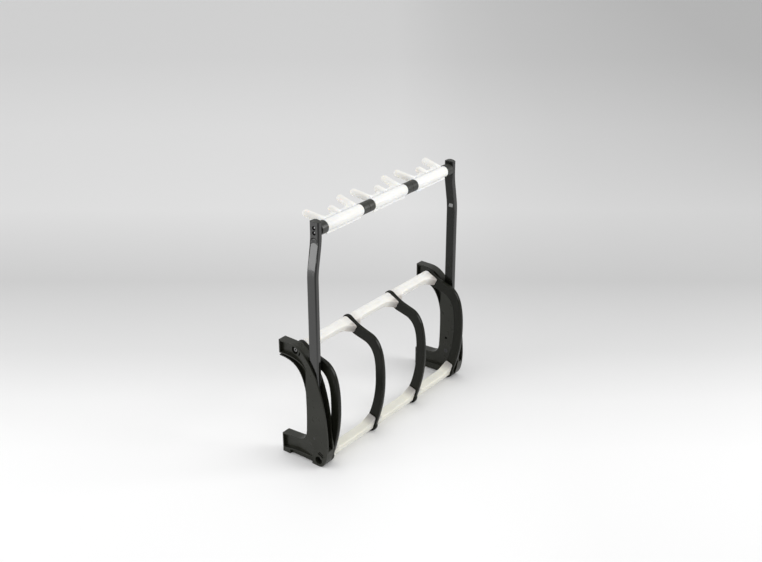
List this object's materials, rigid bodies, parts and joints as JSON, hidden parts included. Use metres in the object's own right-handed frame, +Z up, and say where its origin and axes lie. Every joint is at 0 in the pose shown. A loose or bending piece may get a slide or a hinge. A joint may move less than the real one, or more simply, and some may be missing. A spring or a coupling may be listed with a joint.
{
  "type": "guitar rack",
  "caption": "Folding guitar rack with C-shaped end plates, curved divider bows, padded body rails and a hinged frame with fingered neck cradles, shown folded.",
  "frame": {"origin": "middle of the footprint, on the surface that the folded rack stands on", "axes": "+Z up when folded, +Y towards the feet of the end plates, +X along the rails"},
  "size_m": [0.606, 0.166, 0.6535],
  "materials": {
    "casting": "cast aluminium under satin black powder coat",
    "bow": "fine-grained black moulding",
    "rail": "drawn steel tube",
    "body_pad": "milky translucent elastomer",
    "floor_rubber": "matt black rubber",
    "insert": "turned steel",
    "screw": "bright zinc plating",
    "black_bolt": "black oxide steel",
    "nylon": "natural nylon",
    "post": "black anodised extrusion",
    "black_plastic": "black moulding",
    "neck_cradle": "near-white translucent elastomer"
  },
  "bodies": {
    "base": {"end_plate_left": "casting", "end_plate_right": "casting", "end_bow_left": "bow", "divider_bow_left": "bow", "divider_bow_right": "bow", "end_bow_right": "bow", "upper_rail_tube": "rail", "lower_rail_tube": "rail", "upper_pad_left": "body_pad", "upper_pad_middle": "body_pad", "upper_pad_right": "body_pad", "lower_pad_left": "body_pad", "lower_pad_middle": "body_pad", "lower_pad_right": "body_pad", "rail_plugs": "insert", "rail_screws": "screw", "rail_washers": "screw", "floor_pads": "floor_rubber", "pivot_bolt_left": "black_bolt", "pivot_bolt_right": "black_bolt", "pivot_washers": "nylon"},
    "neck_frame": {"post_left": "post", "post_right": "post", "post_foot_left": "casting", "post_foot_right": "casting", "post_cap_left": "black_plastic", "post_cap_right": "black_plastic", "top_rail_tube": "rail", "top_rail_plugs": "insert", "top_rail_collars": "black_plastic", "post_screws": "screw", "neck_cradle_left": "neck_cradle", "neck_cradle_middle": "neck_cradle", "neck_cradle_right": "neck_cradle"}
  },
  "joints": [
    {"name": "neck_frame_fold", "type": "hinge", "parent": "base", "child": "neck_frame", "pos_m": [0, -0.024, 0.076], "axis": [1, 0, 0], "range_deg": [0, 103]}
  ]
}
